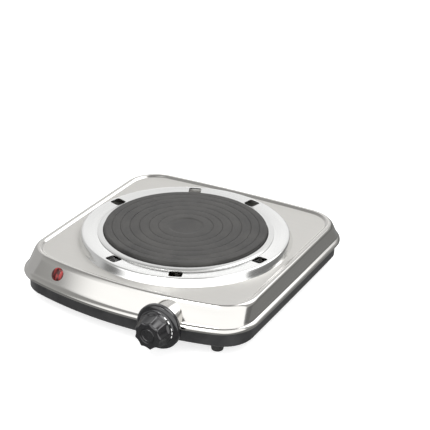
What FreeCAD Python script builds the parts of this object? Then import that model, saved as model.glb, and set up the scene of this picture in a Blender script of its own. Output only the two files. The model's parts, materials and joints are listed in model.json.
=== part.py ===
"""One hot plate burner: pressed steel casing, cast iron plate, thermostat and knob.

Units are millimetres. +Z is up and z = 0 is the plane under the rubber feet. +X is to the right
seen from the front, and the knob looks along -Y. Everything is drawn about the middle of the
casing and moved back by CASING_Y when it is written, so that the origin is the middle of the
whole appliance's footprint, knob included.
"""
import FreeCAD, Part
import math
import os

V = FreeCAD.Vector
X_AXIS = V(1, 0, 0)
Y_AXIS = V(0, 1, 0)
Z_AXIS = V(0, 0, 1)

# ---------------------------------------------------------------- driving dimensions
CASING_W = 240.0            # over the lip
CASING_FRONT_Y = -132.7     # the lip's foremost point, from the plate's centre
CASING_BACK_Y = 128.6
SHEET = 0.8                 # pressed steel
FIT = 0.05                  # radial clearance of a screw or bush in its hole
GAP = 0.3                   # clearance between pieces that move past each other

FOOT_H = 10.0
FOOT_SEAT_Z = 4.0           # depth of the screw's recess in a foot
BASE_Z = FOOT_H             # underside of the base pan
LIP_Z = 25.4                # lower edge of the casing's lip
LIP_TOP_Z = 30.4
SHOULDER_Z = 44.9           # where the skirt turns into the deck
DECK_Z = 44.6
BEAD_Z = 46.4
BEAD_W = 7.0

BOW_FRONT = 21.4            # how far the front bows out over the whole width
BOW_LOSS = 0.3              # bow lost for each millimetre that the front is set in
BOW_SIDE = 0.5
BOW_BACK = 4.2
LIP_R = 38.0
CREASE_R = 29.0
SHOULDER_R = 33.0
BASE_R = 30.0
BASE_IN = (7.0, 5.2, 5.4)     # how far the base stands inside the lip: front, sides, back

RING_FOOT_R = 101.8         # stainless ring around the plate
RING_EDGE_R = 98.6
RING_BORE_R = 79.6
RING_TOP_Z = 52.0
SLOT_ANGLES = (-17.7, 23.1, 77.0, 162.3, 203.1, 257.0)   # from the front towards +X
SLOT_IN_R = 84.5
SLOT_OUT_R = 95.4
SLOT_W = 12.4
TAB_T = 0.8                 # thickness of the ring's bent tabs

PLATE_R = 77.5              # 155 mm cast iron plate
PLATE_TOP_Z = 56.0
PLATE_UNDER_Z = 44.4
ELEMENT_RS = (36.0, 59.0)   # the two turns of the heating tube
ELEMENT_TUBE_R = 2.4

KNOB_X = 48.4
KNOB_Z = 28.5
KNOB_BACK_Y = -132.6
KNOB_LEN = 22.0
KNOB_DISC_R = 21.0
KNOB_NOSE_R = 12.4
BOSS_R = 16.0
BOSS_FACE_Y = -129.4
BOSS_END_Y = -100.0
SHAFT_HOLE_R = 6.0
SPINDLE_R = 3.0

LAMP_X = -68.2
LAMP_Z = 38.4
LAMP_Y = -115.9
LAMP_TILT = 36.9            # degrees that the skirt leans back
LAMP_YAW = 10.8             # degrees that the bowed skirt turns away from straight ahead
LENS_R = 6.2
LAMP_HOLE_R = LENS_R - 1.1

FOOT_X = 88.4
FOOT_FAR_Y = 99.0           # front right and rear left feet, from the casing's middle
FOOT_NEAR_Y = 89.0          # the other two
POST_X = 100.0
POST_Y = 70.0
GLAND_X = -62.0
GLAND_END_Y = 126.4
GLAND_LEN = 12.0
CORD_R = 3.7                # bore of the gland, for a 7.4 mm mains cord
LEAD_R = 1.2

# ---------------------------------------------------------------- plate, element and cross bar
PLATE_GROOVES = (26.0, 35.0, 44.0, 53.0, 62.0, 70.0)
PLATE_HUB_R = 22.0          # cast boss in the middle of the underside
STUD_R = 3.0
ELEMENT_Z = PLATE_UNDER_Z + 2.5
TAIL_ANGLES = (-104.0, -76.0)
TAIL_END_Z = 34.0
CERAMIC_BEAD_R = 4.0
BAR_Z = 32.0                # top of the cross bar's middle
BAR_T = 2.0
BAR_HALF_W = 9.0
BAR_END_X = 106.0
BAR_TOE_X = 96.0            # where the bar's raised end begins
BAR_KNEE_X = 88.0

# ---------------------------------------------------------------- thermostat and knob
BRACKET_Y = -116.0
BRACKET_T = 1.2
BRACKET_TOP_Z = 37.0
BRACKET_HALF_W = 15.0
BUSH_R = 4.8
BUSH_FRONT_Y = BRACKET_Y - 4.5
BUSH_END_Y = -101.5
STAT_BACK_Y = -95.0         # rear face of the thermostat's ceramic block
STAT_HALF_W = 12.5
STAT_LOW_Z = 14.0
STAT_TOP_Z = 42.0
PIN_R = 1.65
ARM_Y = -93.4
ARM_T = 0.6
ARM_HALF_W = 4.0
ARM_TOP_Z = 40.0
ARM_PIVOT_Z = 16.5
CONTACT_Z = 36.6
CONTACT_R = 2.0
FIXED_Y = -88.7
TAB_Y = -98.7
TAB_Z = 27.2                # middle of the two push-on tabs
STACK_SCREW_R = 1.5
SPINDLE_END_Y = -103.5
KNOB_RIDGES = 9
KNOB_RIDGE_R = 1.25

# ---------------------------------------------------------------- fasteners and their places
M4_R = 1.9
M4_TAP_R = 1.95             # hole that an M4 screw fills
M4_CLEAR_R = 2.2
M4_NUT = 7.0                # across the flats
VENT_XS = (-44.0, -33.0, -22.0, 22.0, 33.0, 44.0)
VENT_Y = 34.0
VENT_HALF_L = 14.0
SHIELD_R = 80.0
SHIELD_Z = 20.0
SHIELD_PCD_R = 66.0
BRACKET_SCREWS = [(KNOB_X - 10.4, -108.0), (KNOB_X + 10.4, -108.0)]
BLOCK_X = -75.0             # terminal block
BLOCK_Y = 82.0
BLOCK_PITCH = 11.0
BLOCK_BORE_Z = 5.5          # height of the wire holes above the base's floor
BLOCK_SCREWS = [(BLOCK_X, BLOCK_Y)]
FUSE_X = -10.0
FUSE_Y = -104.0
FUSE_SCREW = [(FUSE_X, FUSE_Y + 6.0)]
EARTH_POINT = [(-28.0, 103.0)]
GLAND_NECK_R = 5.5
WALL_CLEAR = 0.7            # room that the curved wall needs between the gland's two flanges

# ---------------------------------------------------------------- worked out from the above
CASING_Y = -(CASING_BACK_Y + KNOB_BACK_Y - KNOB_LEN) / 2
CASING_MID_Y = (CASING_FRONT_Y + CASING_BACK_Y) / 2
FLOOR_Z = BASE_Z + SHEET    # inside floor of the base pan
GLAND_Z = FLOOR_Z + 6.4
FUSE_Z = FLOOR_Z + 4.4
CEILING_Z = DECK_Z - SHEET  # underside of the deck
YAW = math.radians(LAMP_YAW)
TILT = math.radians(LAMP_TILT)
LAMP_IN = V(math.sin(YAW) * math.cos(TILT), math.cos(YAW) * math.cos(TILT), -math.sin(TILT))

parts = {}


# ---------------------------------------------------------------- small helpers
def box(x0, x1, y0, y1, z0, z1):
    return Part.makeBox(x1 - x0, y1 - y0, z1 - z0, V(x0, y0, z0))


def rod(radius, start, length, axis=Z_AXIS):
    return Part.makeCylinder(radius, length, V(*start), axis)


def tube(outer, inner, start, length, axis=Z_AXIS):
    return rod(outer, start, length, axis).cut(rod(inner, start, length, axis))


def hexagon(across, start, length, axis=Z_AXIS):
    corner_r = across / math.sqrt(3)
    turns = [k * math.pi / 3 for k in range(7)]
    ring = [V(corner_r * math.cos(a), corner_r * math.sin(a), 0) for a in turns]
    prism = Part.Face(Part.makePolygon(ring)).extrude(V(0, 0, length))
    prism.Placement = FreeCAD.Placement(V(*start), FreeCAD.Rotation(Z_AXIS, axis))
    return prism


def nut(across, hole_r, start, length, axis=Z_AXIS):
    return hexagon(across, start, length, axis).cut(rod(hole_r, start, length, axis))


def revolve(profile, centre=(0, 0)):
    """A solid turned about a vertical axis from (radius, z) points."""
    points = [V(centre[0] + r, centre[1], z) for r, z in profile]
    face = Part.Face(Part.makePolygon(points + points[:1]))
    return face.revolve(V(centre[0], centre[1], 0), Z_AXIS, 360)


def revolve_y(profile, x, z):
    """A solid turned about an axis along Y from (radius, y) points."""
    points = [V(x + r, y, z) for r, y in profile]
    face = Part.Face(Part.makePolygon(points + points[:1]))
    return face.revolve(V(x, 0, z), Y_AXIS, 360)


def group(solids):
    return Part.makeCompound(solids)


def corners(x, y, middle_y=0.0):
    return [(sx * x, middle_y + sy * y) for sx in (-1, 1) for sy in (-1, 1)]


def foot_points():
    far = [(FOOT_X, CASING_MID_Y - FOOT_FAR_Y), (-FOOT_X, CASING_MID_Y + FOOT_FAR_Y)]
    near = [(-FOOT_X, CASING_MID_Y - FOOT_NEAR_Y), (FOOT_X, CASING_MID_Y + FOOT_NEAR_Y)]
    return far + near


def screw(x, y, z_head, length, shank_r=M4_R, head_r=3.6, head_h=2.2):
    """A pan head screw driven upwards: z_head is the face that its head bears on."""
    body = rod(shank_r, (x, y, z_head), length).fuse(rod(head_r, (x, y, z_head - head_h), head_h))
    slot = box(x - head_r, x + head_r, y - 0.4, y + 0.4, z_head - head_h, z_head - head_h + 0.8)
    return body.cut(slot)


def screw_down(x, y, z_head, length, shank_r=M4_R, head_r=3.6, head_h=2.2):
    """A pan head screw driven downwards, its head bearing on z_head."""
    body = rod(shank_r, (x, y, z_head - length), length).fuse(rod(head_r, (x, y, z_head), head_h))
    slot = box(x - head_r, x + head_r, y - 0.4, y + 0.4, z_head + head_h - 0.8, z_head + head_h)
    return body.cut(slot)


def lead(points, radius=LEAD_R):
    """A wire along straight runs joined by tangent arcs as large as the two runs allow."""
    route = [V(*p) for p in points]
    edges = []
    bends = []
    start = route[0]
    for before, corner, after in zip(route, route[1:], route[2:]):
        run_in = (corner - before).normalize()
        run_out = (after - corner).normalize()
        half_turn = run_in.getAngle(run_out) / 2
        shorter = min((corner - before).Length, (after - corner).Length)
        cut_back = 0.45 * shorter
        bend_r = cut_back / math.tan(half_turn)
        bends.append(bend_r)
        arc_in = corner - run_in * cut_back
        arc_out = corner + run_out * cut_back
        bisector = (run_out - run_in).normalize()
        centre = corner + bisector * (bend_r / math.cos(half_turn))
        middle = centre - bisector * bend_r
        edges.append(Part.makeLine(start, arc_in))
        edges.append(Part.Arc(arc_in, middle, arc_out).toShape())
        start = arc_out
    edges.append(Part.makeLine(start, route[-1]))
    path = Part.Wire(edges)
    first = (route[1] - route[0]).normalize()
    section = Part.Wire(Part.makeCircle(radius, route[0], first))
    solid = Part.Solid(path.makePipeShell([section], True, True))
    ratio = solid.Volume / (math.pi * radius ** 2 * path.Length)
    print("lead of %.0f mm, volume ratio %.4f, tightest bend %.1f mm" % (path.Length, ratio, min(bends)))
    return solid


# ---------------------------------------------------------------- the casing's outline
def meeting_point(c1, r1, c2, r2, near):
    """The point at r1 from c1 and r2 from c2 that is nearer to near."""
    span = c2 - c1
    along = (span.Length ** 2 + r1 ** 2 - r2 ** 2) / (2 * span.Length)
    across = math.sqrt(r1 ** 2 - along ** 2)
    unit = V(span).normalize()
    side = V(-unit.y, unit.x, 0)
    options = [c1 + unit * along + side * across, c1 + unit * along - side * across]
    return min(options, key=lambda p: (p - near).Length)


def outline(z, front, side, back, corner_r):
    """A bowed rounded rectangle at height z, inset from the lip by front, side and back."""
    half_w = CASING_W / 2 - side
    y_front = CASING_FRONT_Y + front
    y_back = CASING_BACK_Y - back
    half_d = (y_back - y_front) / 2
    middle_y = (y_front + y_back) / 2
    bow = BOW_FRONT - front * BOW_LOSS
    radii = [(half_w ** 2 + bow ** 2) / (2 * bow),
             (half_d ** 2 + BOW_SIDE ** 2) / (2 * BOW_SIDE),
             (half_w ** 2 + BOW_BACK ** 2) / (2 * BOW_BACK),
             (half_d ** 2 + BOW_SIDE ** 2) / (2 * BOW_SIDE)]
    centres = [V(0, y_front + radii[0], 0), V(half_w - radii[1], middle_y, 0),
               V(0, y_back - radii[2], 0), V(radii[3] - half_w, middle_y, 0)]
    near = [V(half_w, y_front, 0), V(half_w, y_back, 0),
            V(-half_w, y_back, 0), V(-half_w, y_front, 0)]
    rounds = []
    for k in range(4):
        n = (k + 1) % 4
        rounds.append(meeting_point(centres[k], radii[k] - corner_r,
                                    centres[n], radii[n] - corner_r, near[k]))
    lift = V(0, 0, z)
    edges = []
    apexes = [V(0, y_front, 0), V(half_w, middle_y, 0), V(0, y_back, 0), V(-half_w, middle_y, 0)]
    for k in range(4):
        start = rounds[k - 1] + (rounds[k - 1] - centres[k]).normalize() * corner_r
        end = rounds[k] + (rounds[k] - centres[k]).normalize() * corner_r
        next_start = rounds[k] + (rounds[k] - centres[(k + 1) % 4]).normalize() * corner_r
        toward = ((end - rounds[k]).normalize() + (next_start - rounds[k]).normalize()).normalize()
        knuckle = rounds[k] + toward * corner_r
        edges.append(Part.Arc(start + lift, apexes[k] + lift, end + lift).toShape())
        edges.append(Part.Arc(end + lift, knuckle + lift, next_start + lift).toShape())
    return Part.Wire(edges)


def stack(sections):
    """One solid through outlines given as (z, front, side, back, corner radius)."""
    body = None
    for lower, upper in zip(sections, sections[1:]):
        layer = Part.makeLoft([outline(*lower), outline(*upper)], True, True)
        body = layer if body is None else body.fuse(layer)
    return body


def inner(sections, wall):
    """The same outlines moved in by the wall thickness."""
    return [(z, f + wall, s + wall, b + wall, r - wall) for z, f, s, b, r in sections]


# ---------------------------------------------------------------- casing and base
SKIRT = [
    (LIP_Z, 0.7, 0.7, 0.7, LIP_R - 0.7),
    (LIP_Z + 0.9, 0.0, 0.0, 0.0, LIP_R),
    (LIP_Z + 2.6, 0.2, 0.2, 0.2, LIP_R - 0.4),
    (LIP_TOP_Z - 0.9, 1.9, 1.9, 1.9, LIP_R - 4.0),
    (LIP_TOP_Z, 4.1, 4.1, 4.1, CREASE_R),
    (SHOULDER_Z - 1.4, 14.4, 5.7, 10.0, SHOULDER_R + 0.2),
    (SHOULDER_Z, 15.9, 6.5, 11.2, SHOULDER_R),
]
BEAD = [
    (SHOULDER_Z, 15.9, 6.5, 11.2, SHOULDER_R),
    (BEAD_Z - 0.4, 17.2, 7.8, 12.5, SHOULDER_R - 1.3),
    (BEAD_Z, 18.4, 9.0, 13.7, SHOULDER_R - 2.5),
]
BEAD_INSIDE = [
    (DECK_Z, 15.9 + BEAD_W, 6.5 + BEAD_W, 11.2 + BEAD_W, SHOULDER_R - BEAD_W),
    (BEAD_Z - 0.5, 21.2, 11.8, 16.5, SHOULDER_R - 5.3),
    (BEAD_Z + 0.01, 20.2, 10.8, 15.5, SHOULDER_R - 4.3),
]


def boss(radius, face_y, depth_y):
    """The round pressing behind the knob, open towards the lip."""
    drum = rod(radius, (KNOB_X, face_y, KNOB_Z), depth_y - face_y, Y_AXIS)
    apron = box(KNOB_X - radius, KNOB_X + radius, face_y, depth_y, LIP_Z, KNOB_Z)
    above_lip = box(KNOB_X - radius - 1, KNOB_X + radius + 1, face_y - 1, depth_y + 1, LIP_Z, SHOULDER_Z + 1)
    return drum.fuse(apron).common(above_lip)


def mouth_section(z):
    """The opening in the casing's underside, a little wider than the base."""
    front, side, back = BASE_IN
    return (z, front - 0.2, side - 0.2, back - 0.2, BASE_R + 0.2)


def make_top_casing():
    outer = stack(SKIRT).fuse(stack(BEAD)).cut(stack(BEAD_INSIDE))
    outer = outer.fuse(boss(BOSS_R, BOSS_FACE_Y, BOSS_END_Y))
    under_deck = (CEILING_Z, 15.5 + SHEET, 6.4 + SHEET, 10.9 + SHEET, SHOULDER_R - SHEET)
    hollow = stack(inner(SKIRT[1:-1], SHEET) + [under_deck])
    hollow = hollow.fuse(boss(BOSS_R - SHEET, BOSS_FACE_Y + SHEET, BOSS_END_Y))
    mouth = stack([mouth_section(LIP_Z - 1), mouth_section(LIP_Z + 1.2)])
    casing = outer.cut(hollow).cut(mouth)
    plate_hole = rod(RING_FOOT_R - 6.0, (0, 0, DECK_Z - 5), 10)
    shaft_hole = rod(SHAFT_HOLE_R, (KNOB_X, BOSS_FACE_Y - 5, KNOB_Z), 20, Y_AXIS)
    shaft_slot = box(KNOB_X - SHAFT_HOLE_R, KNOB_X + SHAFT_HOLE_R, BOSS_FACE_Y - 5, BOSS_FACE_Y + 15,
                     LIP_Z - 1, KNOB_Z)
    lamp_hole = rod(LAMP_HOLE_R, along_lamp(5), 15, LAMP_IN)
    return casing.cut(plate_hole).cut(shaft_hole).cut(shaft_slot).cut(lamp_hole)


def base_section(z, inset):
    front, side, back = BASE_IN
    return (z, front + inset, side + inset, back + inset, BASE_R - inset)


def make_base_pan():
    outer = stack([base_section(BASE_Z, 1.0), base_section(BASE_Z + 1.2, 0.0),
                   base_section(LIP_Z + 1.0, 0.0)])
    hollow = stack([base_section(FLOOR_Z, 1.5), base_section(BASE_Z + 2.0, SHEET),
                    base_section(LIP_Z + 2.0, SHEET)])
    pan = outer.cut(hollow)
    pan = pan.cut(rod(SHAFT_HOLE_R, (KNOB_X, BOSS_FACE_Y - 5, KNOB_Z), 20, Y_AXIS))
    for x, y in foot_points() + corners(POST_X, POST_Y) + shield_points():
        pan = pan.cut(rod(M4_CLEAR_R, (x, y, BASE_Z - 1), 4))
    for x in VENT_XS:
        for y in (-VENT_Y, VENT_Y):
            pan = pan.cut(box(x - 2.0, x + 2.0, y - VENT_HALF_L, y + VENT_HALF_L, BASE_Z - 1, FLOOR_Z + 1))
    for x, y in BRACKET_SCREWS + BLOCK_SCREWS + FUSE_SCREW + EARTH_POINT:
        pan = pan.cut(rod(M4_TAP_R, (x, y, BASE_Z - 1), 4))
    return pan.cut(rod(GLAND_NECK_R + FIT, (GLAND_X, 100, GLAND_Z), 40, Y_AXIS))


def along_lamp(outwards):
    """A point on the lamp's axis, this far out from the skirt."""
    point = V(LAMP_X, LAMP_Y, LAMP_Z) - LAMP_IN * outwards
    return (point.x, point.y, point.z)


def shield_points():
    angles = [math.radians(a) for a in (45, 135, 225, 315)]
    return [(SHIELD_PCD_R * math.cos(a), SHIELD_PCD_R * math.sin(a)) for a in angles]


def make_feet():
    feet = []
    for x, y in foot_points():
        foot = revolve([(0, 0), (4.3, 0), (5.2, 0.6), (5.5, 1.6), (6.2, FOOT_H), (0, FOOT_H)], (x, y))
        foot = foot.cut(rod(3.1, (x, y, 0), FOOT_SEAT_Z)).cut(rod(2.0, (x, y, 0), FOOT_H))
        feet.append(foot)
    return group(feet)


def make_foot_screws():
    return group([screw(x, y, FOOT_SEAT_Z, 12.0, M4_TAP_R, 3.0, 1.8) for x, y in foot_points()])


def make_foot_nuts():
    return group([nut(M4_NUT, 2.0, (x, y, FLOOR_Z), 3.0) for x, y in foot_points()])


def make_posts():
    """Hexagonal posts that hang from the deck and take the base screws."""
    posts = []
    for x, y in corners(POST_X, POST_Y):
        post = hexagon(M4_NUT, (x, y, FLOOR_Z), CEILING_Z - FLOOR_Z)
        posts.append(post.cut(rod(2.0, (x, y, FLOOR_Z), 14)))
    return group(posts)


def make_base_screws():
    return group([screw(x, y, BASE_Z, 12.0, M4_TAP_R) for x, y in corners(POST_X, POST_Y)])


# ---------------------------------------------------------------- ring, plate and heating element
def make_burner_ring():
    skin = 1.0
    top = RING_TOP_Z
    outside = [(RING_FOOT_R, DECK_Z), (RING_FOOT_R - 0.6, DECK_Z + 1.2), (RING_EDGE_R + 0.7, top - 1.6),
               (RING_EDGE_R, top - 0.5), (RING_EDGE_R - 1.2, top), (RING_BORE_R + 6.4, top - 0.7),
               (RING_BORE_R + 1.2, top - 1.1), (RING_BORE_R, top - 2.0), (RING_BORE_R, top - 7.0)]
    inside = [(RING_BORE_R + skin, top - 7.0), (RING_BORE_R + skin, top - 2.4),
              (RING_BORE_R + 6.4, top - 0.7 - skin), (RING_EDGE_R - 1.6, top - skin),
              (RING_EDGE_R - skin, top - 1.8), (RING_FOOT_R - 1.6, DECK_Z + 1.2), (RING_FOOT_R - 1.8, DECK_Z)]
    ring = revolve(outside + inside)
    for angle in SLOT_ANGLES:
        slot = box(-SLOT_W / 2, SLOT_W / 2, -SLOT_OUT_R, -SLOT_IN_R, top - 3.5, top + 1)
        slot.rotate(V(0, 0, 0), Z_AXIS, angle)
        ring = ring.cut(slot)
    for angle in range(30, 390, 60):
        shelf = box(RING_FOOT_R - 7.5, RING_FOOT_R - 1.7, -4, 4, DECK_Z, DECK_Z + TAB_T)
        claw = box(RING_FOOT_R - 7.5, RING_FOOT_R - 6.1, -4, 4, CEILING_Z - 2.5, DECK_Z + TAB_T)
        tab = shelf.fuse(claw)
        tab.rotate(V(0, 0, 0), Z_AXIS, angle)
        ring = ring.fuse(tab)
    return ring


def make_plate_rim():
    """The thin stainless spill ring that fills the gap between plate and burner ring."""
    seat = RING_TOP_Z - 0.7
    drop_r = PLATE_R + 0.1
    edge_r = RING_BORE_R + 4.2
    upper = [(drop_r, seat + 1.1), (drop_r + 1.3, seat + 1.7), (edge_r - 2.6, seat + 1.2),
             (edge_r, seat + 0.4)]
    lower = [(edge_r, seat), (edge_r - 0.4, seat - 0.1), (edge_r - 2.6, seat + 0.6),
             (drop_r + 1.3, seat + 1.1), (drop_r + 0.7, seat + 0.9)]
    skirt = [(drop_r + 0.7, seat - 3.5), (drop_r, seat - 3.5)]
    return revolve(upper + lower + skirt)


def make_hot_plate():
    top = PLATE_TOP_Z
    under = PLATE_UNDER_Z
    upper = [(0, top - 0.5), (16.0, top - 0.5), (17.0, top), (PLATE_R - 1.4, top),
             (PLATE_R - 0.4, top - 0.4), (PLATE_R, top - 1.4)]
    lower = [(PLATE_R, under + 1.5), (PLATE_R - 1.5, under), (PLATE_R - 5.5, under),
             (PLATE_R - 5.5, under + 5.0), (PLATE_HUB_R, under + 5.0), (PLATE_HUB_R, under),
             (9.0, under), (9.0, under - 3.0), (0, under - 3.0)]
    plate = revolve(upper + lower)
    for radius in PLATE_GROOVES:
        groove = tube(radius + 0.25, radius - 0.25, (0, 0, top - 0.3), 1)
        plate = plate.cut(groove)
    stud_hole = rod(STUD_R + FIT, (0, 0, under - 4.0), 9.0)
    return plate.cut(stud_hole)


def element_tube(radius):
    """Two nearly closed turns, joined at one side of their gap, with a tail down from each at the other."""
    gap = TAIL_ANGLES[1] - TAIL_ANGLES[0]
    shape = None
    for turn_r in ELEMENT_RS:
        turn = Part.makeTorus(turn_r, radius, V(0, 0, 0), Z_AXIS, -180, 180, 360 - gap)
        turn.rotate(V(0, 0, 0), Z_AXIS, TAIL_ANGLES[1])
        turn.translate(V(0, 0, ELEMENT_Z))
        shape = turn if shape is None else shape.fuse(turn)
    a = math.radians(TAIL_ANGLES[0])
    out = V(math.cos(a), math.sin(a), 0)
    elbows = [out * turn_r + V(0, 0, ELEMENT_Z) for turn_r in ELEMENT_RS]
    link = Part.makeCylinder(radius, (elbows[1] - elbows[0]).Length, elbows[0], out)
    shape = shape.fuse(link)
    for elbow in elbows:
        shape = shape.fuse(Part.makeSphere(radius, elbow))
    for x, y in tail_points():
        foot = V(x, y, ELEMENT_Z)
        drop = rod(radius, (foot.x, foot.y, TAIL_END_Z), ELEMENT_Z - TAIL_END_Z)
        shape = shape.fuse(drop).fuse(Part.makeSphere(radius, foot))
    return shape.removeSplitter()


def tail_points():
    a = math.radians(TAIL_ANGLES[1])
    return [(r * math.cos(a), r * math.sin(a)) for r in ELEMENT_RS]


def make_ceramic_fill():
    low = PLATE_UNDER_Z + 0.1
    ring = tube(PLATE_R - 5.6, PLATE_HUB_R + 0.1, (0, 0, low), 4.85)
    return ring.cut(element_tube(ELEMENT_TUBE_R + FIT))


def make_plate_cover():
    """Sheet disc under the plate that holds the insulation in."""
    cover = tube(PLATE_R - 2.0, 9.3, (0, 0, PLATE_UNDER_Z - 1.0), 0.95)
    for x, y in tail_points():
        cover = cover.cut(rod(CERAMIC_BEAD_R + 0.1, (x, y, PLATE_UNDER_Z - 3), 5))
    return cover


def make_ceramic_beads():
    low = TAIL_END_Z + 3.0
    return group([tube(CERAMIC_BEAD_R, ELEMENT_TUBE_R + FIT, (x, y, low), 7.7) for x, y in tail_points()])


def make_element_clamps():
    """Brass connector sleeves on the element's two tails, each with a side screw."""
    clamps = []
    for x, y in tail_points():
        sleeve = tube(4.4, ELEMENT_TUBE_R + FIT, (x, y, TAIL_END_Z - 4.0), 6.5)
        floor = rod(4.4, (x, y, TAIL_END_Z - 5.0), 1.0)
        side_screw = rod(1.4, (x + 4.0, y, TAIL_END_Z - 2.0), 2.6, X_AXIS)
        clamps.append(sleeve.fuse(floor).fuse(side_screw))
    return group(clamps)


def make_cross_bar():
    """The bridge that the plate's nut pulls up against the underside of the deck."""
    fold = 1.3
    right = [(BAR_KNEE_X, BAR_Z - BAR_T), (BAR_TOE_X, CEILING_Z - BAR_T), (BAR_END_X, CEILING_Z - BAR_T),
             (BAR_END_X, CEILING_Z), (BAR_TOE_X - fold, CEILING_Z), (BAR_KNEE_X - fold, BAR_Z)]
    left = [(-x, z) for x, z in reversed(right)]
    points = [V(x, -BAR_HALF_W, z) for x, z in right + left]
    bar = Part.Face(Part.makePolygon(points + points[:1])).extrude(V(0, 2 * BAR_HALF_W, 0))
    return bar.cut(rod(STUD_R + FIT, (0, 0, BAR_Z - 5), 10))


def make_plate_stud():
    return rod(STUD_R, (0, 0, BAR_Z - 10.0), PLATE_UNDER_Z + 4.5 - BAR_Z + 10.0)


def make_plate_washer():
    return tube(8.0, STUD_R + FIT, (0, 0, BAR_Z - BAR_T - 1.2), 1.2)


def make_plate_nut():
    return nut(10.0, STUD_R + FIT, (0, 0, BAR_Z - BAR_T - 6.4), 5.2)


def make_heat_shield():
    """Shallow bright dish that keeps the plate's heat off the base."""
    profile = [(0, SHIELD_Z), (SHIELD_R - 6, SHIELD_Z), (SHIELD_R, SHIELD_Z + 3.5),
               (SHIELD_R, SHIELD_Z + 3.5 + SHEET), (SHIELD_R - 6.3, SHIELD_Z + SHEET), (0, SHIELD_Z + SHEET)]
    shield = revolve(profile)
    for x, y in shield_points():
        shield = shield.cut(rod(2.0, (x, y, SHIELD_Z - 2), 6))
    return shield


def make_shield_spacers():
    return group([tube(4.0, 2.0, (x, y, FLOOR_Z), SHIELD_Z - FLOOR_Z) for x, y in shield_points()])


def make_shield_screws():
    return group([screw(x, y, BASE_Z, 14.5, M4_TAP_R, 3.6, 2.0) for x, y in shield_points()])


def make_shield_nuts():
    return group([nut(M4_NUT, 2.0, (x, y, SHIELD_Z + SHEET), 2.6) for x, y in shield_points()])


# ---------------------------------------------------------------- thermostat, spindle and knob
def make_thermostat_bracket():
    left = KNOB_X - BRACKET_HALF_W
    right = KNOB_X + BRACKET_HALF_W
    upright = box(left, right, BRACKET_Y, BRACKET_Y + BRACKET_T, FLOOR_Z, BRACKET_TOP_Z)
    foot = box(left, right, BRACKET_Y, BUSH_END_Y - 0.5, FLOOR_Z, FLOOR_Z + BRACKET_T)
    bracket = upright.fuse(foot).cut(rod(BUSH_R + FIT, (KNOB_X, BRACKET_Y - 2, KNOB_Z), 6, Y_AXIS))
    for x, y in BRACKET_SCREWS:
        bracket = bracket.cut(rod(M4_TAP_R, (x, y, FLOOR_Z - 1), 5))
    return bracket


def make_bracket_screws():
    return group([screw(x, y, BASE_Z, 6.0, M4_R, 3.4, 1.8) for x, y in BRACKET_SCREWS])


def make_spindle_bush():
    barrel = rod(BUSH_R, (KNOB_X, BUSH_FRONT_Y, KNOB_Z), BUSH_END_Y - BUSH_FRONT_Y, Y_AXIS)
    collar = rod(7.5, (KNOB_X, BRACKET_Y + BRACKET_T, KNOB_Z), 2.5, Y_AXIS)
    bore = rod(SPINDLE_R + FIT, (KNOB_X, BUSH_FRONT_Y - 1, KNOB_Z), BUSH_END_Y - BUSH_FRONT_Y + 2, Y_AXIS)
    return barrel.fuse(collar).cut(bore)


def make_bush_nut():
    return nut(13.0, BUSH_R + FIT, (KNOB_X, BRACKET_Y - 3.0, KNOB_Z), 3.0, Y_AXIS)


def make_thermostat_block():
    block = box(KNOB_X - STAT_HALF_W, KNOB_X + STAT_HALF_W, BUSH_END_Y, STAT_BACK_Y, STAT_LOW_Z, STAT_TOP_Z)
    block = block.cut(rod(PIN_R + 0.08, (KNOB_X, BUSH_END_Y - 1, KNOB_Z), 9, Y_AXIS))
    return block.cut(rod(STACK_SCREW_R + FIT, (KNOB_X, BUSH_END_Y - 1, ARM_PIVOT_Z), 9, Y_AXIS))


def make_stack_spacers():
    solids = []
    for y0, y1 in ((STAT_BACK_Y, ARM_Y - 0.8), (ARM_Y + ARM_T + 0.7, FIXED_Y)):
        spacer = box(KNOB_X - 5, KNOB_X + 5, y0, y1, STAT_LOW_Z, STAT_LOW_Z + 5.0)
        hole = rod(STACK_SCREW_R + FIT, (KNOB_X, y0 - 1, ARM_PIVOT_Z), y1 - y0 + 2, Y_AXIS)
        solids.append(spacer.cut(hole))
    return group(solids)


def make_stack_screw():
    start_y = BUSH_END_Y + 1.0
    head_y = FIXED_Y + ARM_T
    shank = rod(STACK_SCREW_R, (KNOB_X, start_y, ARM_PIVOT_Z), head_y - start_y, Y_AXIS)
    return shank.fuse(rod(2.8, (KNOB_X, head_y, ARM_PIVOT_Z), 1.6, Y_AXIS))


def make_contact_arm():
    low_z = STAT_LOW_Z + 0.2
    arm = box(KNOB_X - ARM_HALF_W, KNOB_X + ARM_HALF_W, ARM_Y, ARM_Y + ARM_T, low_z, ARM_TOP_Z)
    tip = rod(CONTACT_R, (KNOB_X, ARM_Y + ARM_T, CONTACT_Z), 0.8, Y_AXIS)
    return arm.fuse(tip).cut(rod(2.1, (KNOB_X, ARM_Y - 1, ARM_PIVOT_Z), 4, Y_AXIS))


def make_fixed_contact():
    leaf = box(KNOB_X - ARM_HALF_W, KNOB_X + ARM_HALF_W, FIXED_Y, FIXED_Y + ARM_T, STAT_LOW_Z, ARM_TOP_Z)
    tip = rod(CONTACT_R, (KNOB_X, FIXED_Y - 0.8, CONTACT_Z), 0.8, Y_AXIS)
    return leaf.fuse(tip).cut(rod(STACK_SCREW_R + FIT, (KNOB_X, FIXED_Y - 1, ARM_PIVOT_Z), 4, Y_AXIS))


def make_thermostat_tabs():
    tabs = []
    for side in (-1, 1):
        x0 = KNOB_X + side * STAT_HALF_W
        x1 = KNOB_X + side * (STAT_HALF_W + 8.0)
        tabs.append(box(min(x0, x1), max(x0, x1), TAB_Y, TAB_Y + 0.8, TAB_Z - 3.15, TAB_Z + 3.15))
    return group(tabs)


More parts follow.
